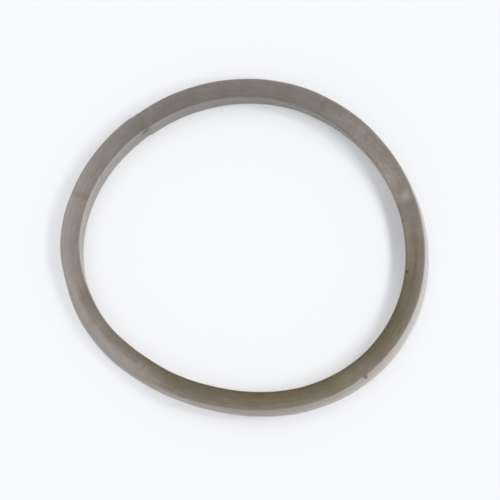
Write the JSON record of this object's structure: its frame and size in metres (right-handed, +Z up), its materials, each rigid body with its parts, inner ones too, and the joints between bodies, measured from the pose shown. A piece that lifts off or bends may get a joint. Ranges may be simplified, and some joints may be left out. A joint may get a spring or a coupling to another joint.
{
  "type": "glass sealing ring",
  "caption": "Flat sealing ring for a round glass: translucent grey-brown elastomer strip of square section bent into a slightly oval loop, its cut ends butted and bonded.",
  "frame": {"origin": "centre of the ring's box, on the plane of its lower sealing face", "axes": "+Z up, square to the sealing faces; +X along the long way of the oval"},
  "size_m": [0.0736, 0.0664, 0.004],
  "materials": {
    "elastomer": "translucent grey-brown silicone-like elastomer, matte and lightly dusty",
    "adhesive": "cured silicone adhesive, a shade darker and smoother than the strip"
  },
  "bodies": {
    "root": {"ring_strip": "elastomer", "splice_bond": "adhesive"}
  },
  "joints": []
}
